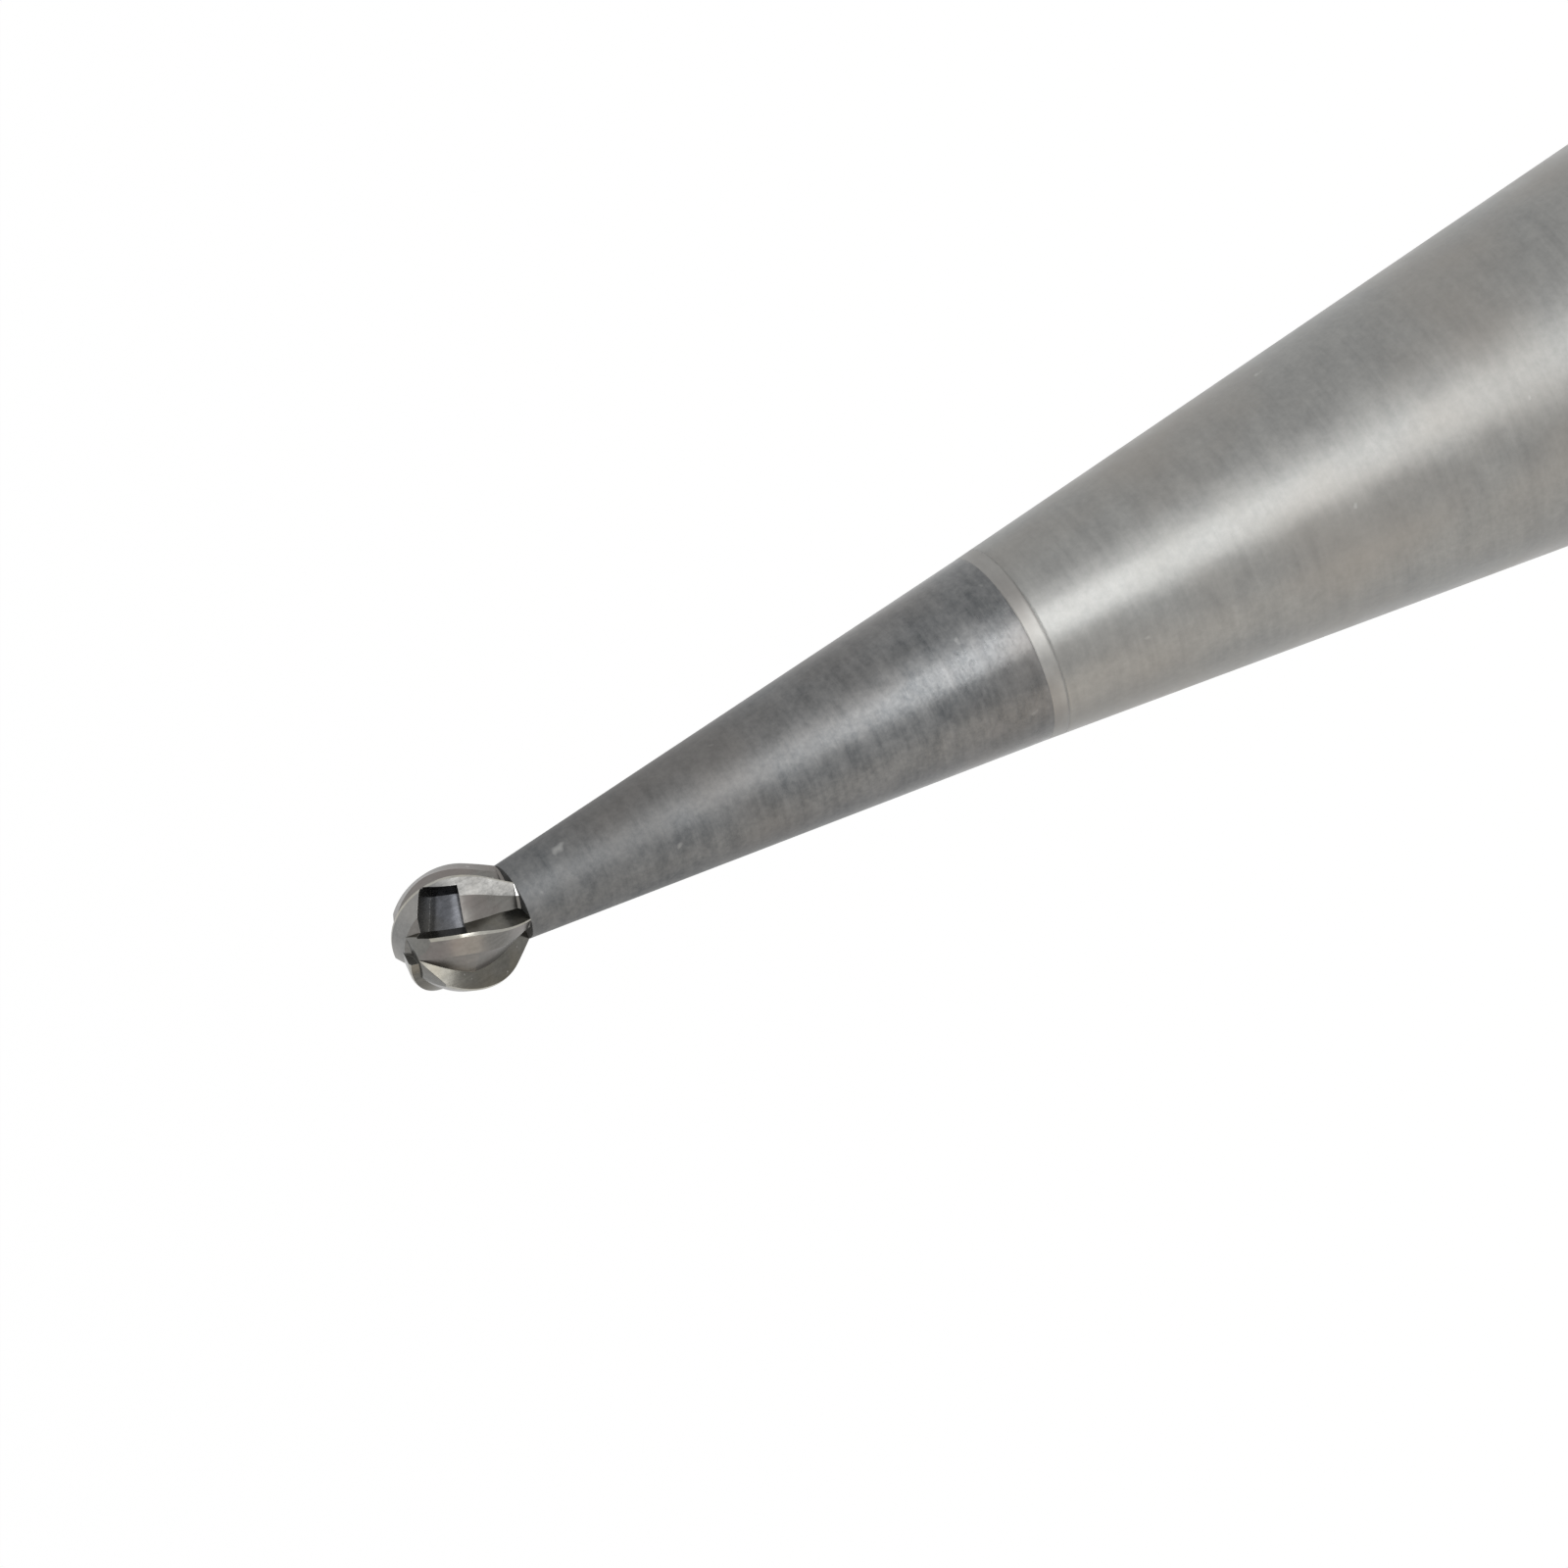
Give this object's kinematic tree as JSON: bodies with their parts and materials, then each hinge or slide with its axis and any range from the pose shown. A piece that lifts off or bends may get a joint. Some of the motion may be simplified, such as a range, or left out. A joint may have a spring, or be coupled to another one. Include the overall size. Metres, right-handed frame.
{
  "type": "carbide burr",
  "caption": "Slim rotary cutting burr: a straight steel shank that tapers to a thin carbide neck with a small fluted ball at its tip.",
  "frame": {"origin": "centre of the shank's end face", "axes": "+Z along the burr's axis, from the shank's end to the tip; a full-length cutting edge crosses the ball's widest place on the +Y side"},
  "size_m": [0.0024, 0.0024, 0.0445],
  "materials": {
    "carbide": "ground, dark grey",
    "braze": "pale silver solder",
    "steel": "satin ground"
  },
  "bodies": {
    "root": {"carbide_head": "carbide", "braze_seam": "braze", "steel_shank": "steel"}
  },
  "joints": []
}
